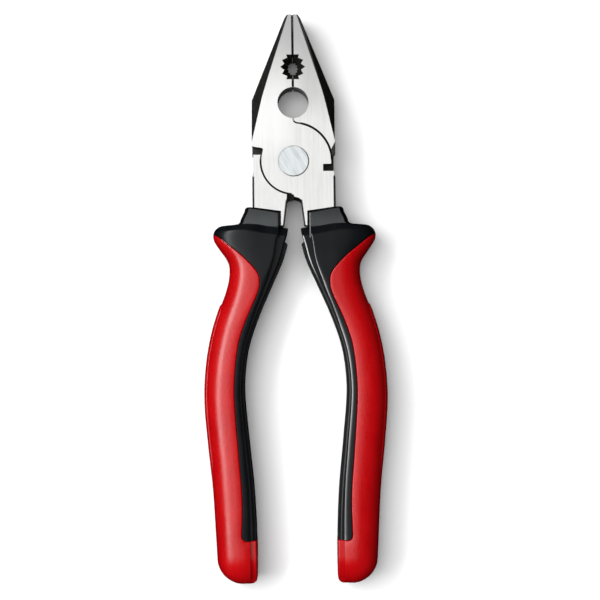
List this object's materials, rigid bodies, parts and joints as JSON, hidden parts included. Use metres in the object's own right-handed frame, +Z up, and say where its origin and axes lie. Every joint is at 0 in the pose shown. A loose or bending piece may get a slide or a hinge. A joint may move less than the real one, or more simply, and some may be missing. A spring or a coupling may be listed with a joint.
{
  "type": "combination pliers",
  "caption": "Combination pliers with tapering ground jaws, toothed pipe grip, round hole, lap joint on a flush rivet and red and black layered grips with finger guards.",
  "frame": {"origin": "on the surface that the pliers lie on, under the middle of their outline", "axes": "+Y from the grips' ends to the jaws' tips, +Z up out of the surface along the rivet, +X to the right seen from above with the jaws away from the viewer"},
  "size_m": [0.0648, 0.2, 0.0165],
  "materials": {
    "ground_steel": "ground and brushed along the jaws on the faces, black oxide on the bevelled sides",
    "rivet_steel": "ground flush with the joint's faces",
    "hard_black_plastic": "satin moulded plastic",
    "soft_black_plastic": "fine matt moulded elastomer",
    "soft_red_rubber": "satin moulded elastomer"
  },
  "bodies": {
    "fixed_lever": {"left_jaw_lever": "ground_steel", "pivot_rivet": "rivet_steel", "right_handle_core": "hard_black_plastic", "right_black_guard": "soft_black_plastic", "right_red_grip": "soft_red_rubber"},
    "moving_lever": {"right_jaw_lever": "ground_steel", "left_handle_core": "hard_black_plastic", "left_black_guard": "soft_black_plastic", "left_red_grip": "soft_red_rubber"}
  },
  "joints": [
    {"name": "jaw_pivot", "type": "hinge", "parent": "fixed_lever", "child": "moving_lever", "pos_m": [0, 0.0485, 0.00825], "axis": [0, 0, -1], "range_deg": [0, 10]}
  ]
}
